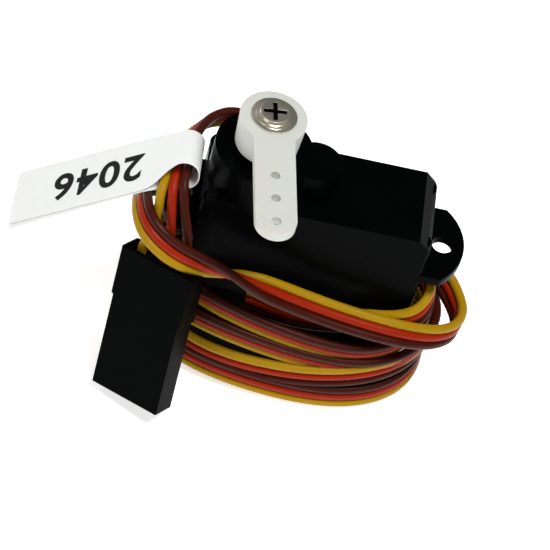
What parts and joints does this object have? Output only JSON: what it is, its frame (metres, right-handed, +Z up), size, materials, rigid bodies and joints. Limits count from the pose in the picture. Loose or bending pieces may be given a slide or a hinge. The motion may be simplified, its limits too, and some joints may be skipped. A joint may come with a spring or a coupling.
{
  "type": "servo motor",
  "caption": "Slim micro servo motor: box case with end lugs, geared output with a single-arm horn, and a three-wire lead wound round the case to a socket plug.",
  "frame": {"origin": "on the output axis, at the base of the case", "axes": "+Z up along the output axis, +X towards the motor end, -Y the side that the horn points to at rest"},
  "size_m": [0.0443, 0.024, 0.0303],
  "materials": {
    "case_plastic": "black moulded nylon, satin gloss",
    "screw_steel": "plain steel",
    "motor_steel": "drawn steel can",
    "bush_bronze": "sintered bronze",
    "magnet": "sintered magnet, dark grey",
    "cap_plastic": "moulded, matte",
    "coil_copper": "enamelled copper winding",
    "gear_brass": "machined brass",
    "gear_nylon": "moulded nylon",
    "pot_track": "carbon film",
    "lead_wire": "soft insulation in three colours",
    "horn_nylon": "translucent white nylon",
    "screw_nickel": "nickel plated",
    "board_green": "solder mask",
    "chip_black": "moulded package",
    "capacitor": "ceramic",
    "rubber": "soft, matte",
    "connector_plastic": "black moulded, satin",
    "contact_gold": "gold-plated strip",
    "label_tape": "white label tape"
  },
  "bodies": {
    "case": {"bottom_cover": "case_plastic", "case_middle": "case_plastic", "gearbox_cover": "case_plastic", "case_screws": "screw_steel", "motor_can": "motor_steel", "motor_bush": "bush_bronze", "motor_magnet": "magnet", "motor_end_cap": "cap_plastic", "motor_brushes": "bush_bronze", "motor_terminals": "bush_bronze", "axle_pin_near": "screw_steel", "axle_pin_far": "screw_steel", "output_bearing": "bush_bronze", "lower_bush": "bush_bronze", "potentiometer_case": "cap_plastic", "potentiometer_track": "pot_track", "potentiometer_leads": "lead_wire", "circuit_board": "board_green", "control_chip": "chip_black", "driver_chip": "chip_black", "board_capacitors": "capacitor", "lead_grommet": "rubber", "lead_wire_ends": "lead_wire", "lead_winding": "lead_wire", "lead_tail": "lead_wire", "connector_housing": "connector_plastic", "connector_contacts": "contact_gold", "label_flag": "label_tape"},
    "output": {"output_shaft": "gear_brass", "output_gear": "gear_brass", "potentiometer_wiper": "gear_nylon", "servo_horn": "horn_nylon", "horn_screw": "screw_nickel"},
    "gear_fourth": {"gear_fourth": "gear_brass"},
    "gear_third": {"gear_third": "gear_nylon"},
    "gear_second": {"gear_second": "gear_nylon"},
    "gear_first": {"gear_first": "gear_nylon"},
    "rotor": {"rotor_coil": "coil_copper", "rotor_commutator": "bush_bronze", "rotor_shaft": "screw_steel", "motor_pinion": "gear_brass"}
  },
  "joints": [
    {"name": "output_turn", "type": "hinge", "parent": "case", "child": "output", "pos_m": [0, 0, 0.02], "axis": [0, 0, 1], "range_deg": [-60, 60]},
    {"name": "gear_fourth_spin", "type": "hinge", "parent": "case", "child": "gear_fourth", "pos_m": [0.0051, 0, 0.019], "axis": [0, 0, 1], "range_deg": [-166.8, 166.8]},
    {"name": "gear_third_spin", "type": "hinge", "parent": "case", "child": "gear_third", "pos_m": [0, 0, 0.019], "axis": [0, 0, 1], "range_deg": [-258.5, 258.5]},
    {"name": "gear_second_spin", "type": "hinge", "parent": "case", "child": "gear_second", "pos_m": [0.0051, 0, 0.019], "axis": [0, 0, 1], "range_deg": [-516.8, 516.8]},
    {"name": "gear_first_spin", "type": "hinge", "parent": "case", "child": "gear_first", "pos_m": [0.0089, 0, 0.019], "axis": [0, 0, 1], "range_deg": [-1446.8, 1446.8]},
    {"name": "rotor_spin", "type": "hinge", "parent": "case", "child": "rotor", "pos_m": [0.0128, 0, 0.019], "axis": [0, 0, 1], "range_deg": [-4822.4, 4822.4]}
  ],
  "couplings": [
    {"joint": "gear_fourth_spin", "follows": "output_turn", "ratio": -2.7778},
    {"joint": "gear_third_spin", "follows": "output_turn", "ratio": 4.3056},
    {"joint": "gear_second_spin", "follows": "output_turn", "ratio": -8.6111},
    {"joint": "gear_first_spin", "follows": "output_turn", "ratio": 24.111},
    {"joint": "rotor_spin", "follows": "output_turn", "ratio": -80.37}
  ]
}
